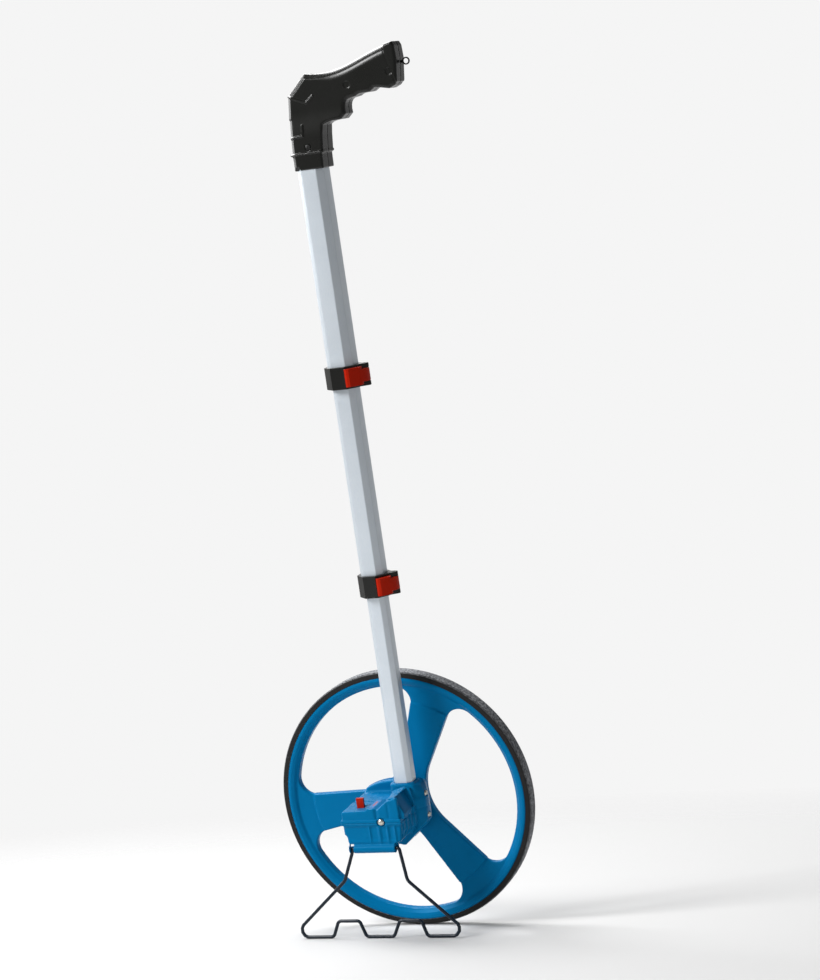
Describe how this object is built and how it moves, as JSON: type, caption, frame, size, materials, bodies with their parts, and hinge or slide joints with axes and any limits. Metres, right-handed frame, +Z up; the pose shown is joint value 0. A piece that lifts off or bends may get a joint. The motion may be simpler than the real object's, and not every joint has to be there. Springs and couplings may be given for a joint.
{
  "type": "measuring wheel",
  "caption": "Surveyor's measuring wheel with a three-spoke wheel, mechanical counter housing, telescopic octagonal pole with cam clamps, pistol-grip handle and folding wire stand.",
  "frame": {"origin": "on the floor, under the middle of the bounding box of the device as it leans on its stand", "axes": "+Z up; +X towards the user, the way the grip points; the wheel rolls towards -X; -Y is the side of the counter housing and the wire stand"},
  "size_m": [0.3182, 0.3002, 1.0138],
  "materials": {
    "blue_plastic": "moulded glossy blue ABS",
    "tyre_rubber": "matt black rubber",
    "nylon": "natural nylon",
    "steel": "zinc plated steel",
    "tube_aluminium": "satin anodised aluminium",
    "black_plastic": "satin black glass-filled nylon",
    "red_plastic": "moulded red plastic",
    "label_film": "printed film, blank",
    "clear_window": "clear polycarbonate",
    "digit_plastic": "black number wheels with white digits",
    "stand_steel": "dark blue-black coated steel wire"
  },
  "bodies": {
    "frame": {"axle": "steel", "axle_washer": "steel", "axle_nut": "steel", "gearbox_body": "blue_plastic", "gearbox_cover": "blue_plastic", "cover_screws": "steel", "upper_housing": "blue_plastic", "lower_housing": "blue_plastic", "housing_screws": "steel", "front_screw": "steel", "label_plate": "label_film", "counter_window": "clear_window", "idler_shaft": "steel", "counter_frame": "steel", "counter_shaft": "steel", "carry_pinions": "nylon", "pinion_shaft": "steel", "reset_pin": "steel", "reset_spring": "steel", "lower_tube": "tube_aluminium", "lower_guide_bush": "black_plastic", "pole_screws": "steel"},
    "wheel": {"wheel_disc": "blue_plastic", "tyre": "tyre_rubber", "front_bush": "nylon", "rear_bush": "nylon", "drive_gear": "nylon", "hub_cap": "blue_plastic"},
    "layshaft_set": {"layshaft": "steel", "lay_rear_gear": "nylon", "lay_front_gear": "nylon"},
    "idler": {"idler_gear": "nylon"},
    "counter_1": {"input_gear": "nylon", "number_wheel_1": "digit_plastic"},
    "counter_2": {"number_wheel_2": "digit_plastic"},
    "counter_3": {"number_wheel_3": "digit_plastic"},
    "counter_4": {"number_wheel_4": "digit_plastic"},
    "counter_5": {"number_wheel_5": "digit_plastic"},
    "reset": {"reset_lever": "red_plastic"},
    "mid_pole": {"mid_tube": "tube_aluminium", "mid_guide_bush": "black_plastic", "lower_clamp_collar": "black_plastic", "lower_clamp_pin": "steel", "lower_clamp_pad": "nylon"},
    "top_pole": {"top_tube": "tube_aluminium", "upper_clamp_collar": "black_plastic", "upper_clamp_pin": "steel", "upper_clamp_pad": "nylon", "handle_front_shell": "black_plastic", "handle_rear_shell": "black_plastic", "handle_screws": "steel", "lanyard_ring": "black_plastic"},
    "lower_lever": {"lower_clamp_lever": "red_plastic"},
    "upper_lever": {"upper_clamp_lever": "red_plastic"},
    "stand": {"stand_wire": "stand_steel"}
  },
  "joints": [
    {"name": "wheel_spin", "type": "hinge", "parent": "frame", "child": "wheel", "pos_m": [0, 0.10531, 0.15689], "axis": [0, 0.9741, 0.226], "continuous": true},
    {"name": "layshaft_spin", "type": "hinge", "parent": "frame", "child": "layshaft_set", "pos_m": [-0.0172, 0.06754, 0.14269], "axis": [0, 0.9741, 0.226], "continuous": true},
    {"name": "idler_spin", "type": "hinge", "parent": "frame", "child": "idler", "pos_m": [0.00372, 0.04337, 0.13892], "axis": [0, 0.9741, 0.226], "continuous": true},
    {"name": "counter_1_spin", "type": "hinge", "parent": "frame", "child": "counter_1", "pos_m": [0.0159, 0.03551, 0.15466], "axis": [0, 0.9741, 0.226], "continuous": true},
    {"name": "counter_2_spin", "type": "hinge", "parent": "frame", "child": "counter_2", "pos_m": [0.0159, 0.03098, 0.1536], "axis": [0, 0.9741, 0.226], "continuous": true},
    {"name": "counter_3_spin", "type": "hinge", "parent": "frame", "child": "counter_3", "pos_m": [0.0159, 0.02645, 0.15255], "axis": [0, 0.9741, 0.226], "continuous": true},
    {"name": "counter_4_spin", "type": "hinge", "parent": "frame", "child": "counter_4", "pos_m": [0.0159, 0.02192, 0.1515], "axis": [0, 0.9741, 0.226], "continuous": true},
    {"name": "counter_5_spin", "type": "hinge", "parent": "frame", "child": "counter_5", "pos_m": [0.0159, 0.01739, 0.15045], "axis": [0, 0.9741, 0.226], "continuous": true},
    {"name": "mid_pole_slide", "type": "slide", "parent": "frame", "child": "mid_pole", "axis": [0, -0.226, 0.9741], "range_m": [-0.21, 0]},
    {"name": "top_pole_slide", "type": "slide", "parent": "mid_pole", "child": "top_pole", "axis": [0, -0.226, 0.9741], "range_m": [-0.21, 0]},
    {"name": "lower_lever_swing", "type": "hinge", "parent": "mid_pole", "child": "lower_lever", "pos_m": [0.042, 0.00558, 0.41503], "axis": [0, -0.226, 0.9741], "range_deg": [0, 110]},
    {"name": "upper_lever_swing", "type": "hinge", "parent": "top_pole", "child": "upper_lever", "pos_m": [0.044, -0.05013, 0.65515], "axis": [0, -0.226, 0.9741], "range_deg": [0, 110]},
    {"name": "stand_fold", "type": "hinge", "parent": "frame", "child": "stand", "pos_m": [-0.0115, 0.02188, 0.10499], "axis": [-1, 0, 0], "range_deg": [0, 135]},
    {"name": "reset_press", "type": "hinge", "parent": "frame", "child": "reset", "pos_m": [-0.0272, 0.027, 0.14488], "axis": [-1, 0, 0], "range_deg": [0, 18], "stiffness_Nm_per_rad": 0.02}
  ],
  "couplings": [
    {"joint": "layshaft_spin", "follows": "wheel_spin", "ratio": -1},
    {"joint": "idler_spin", "follows": "wheel_spin", "ratio": 0.61538},
    {"joint": "counter_1_spin", "follows": "wheel_spin", "ratio": -1},
    {"joint": "counter_2_spin", "follows": "wheel_spin", "ratio": -0.1},
    {"joint": "counter_3_spin", "follows": "wheel_spin", "ratio": -0.01},
    {"joint": "counter_4_spin", "follows": "wheel_spin", "ratio": -0.001},
    {"joint": "counter_5_spin", "follows": "wheel_spin", "ratio": -0.0001}
  ]
}
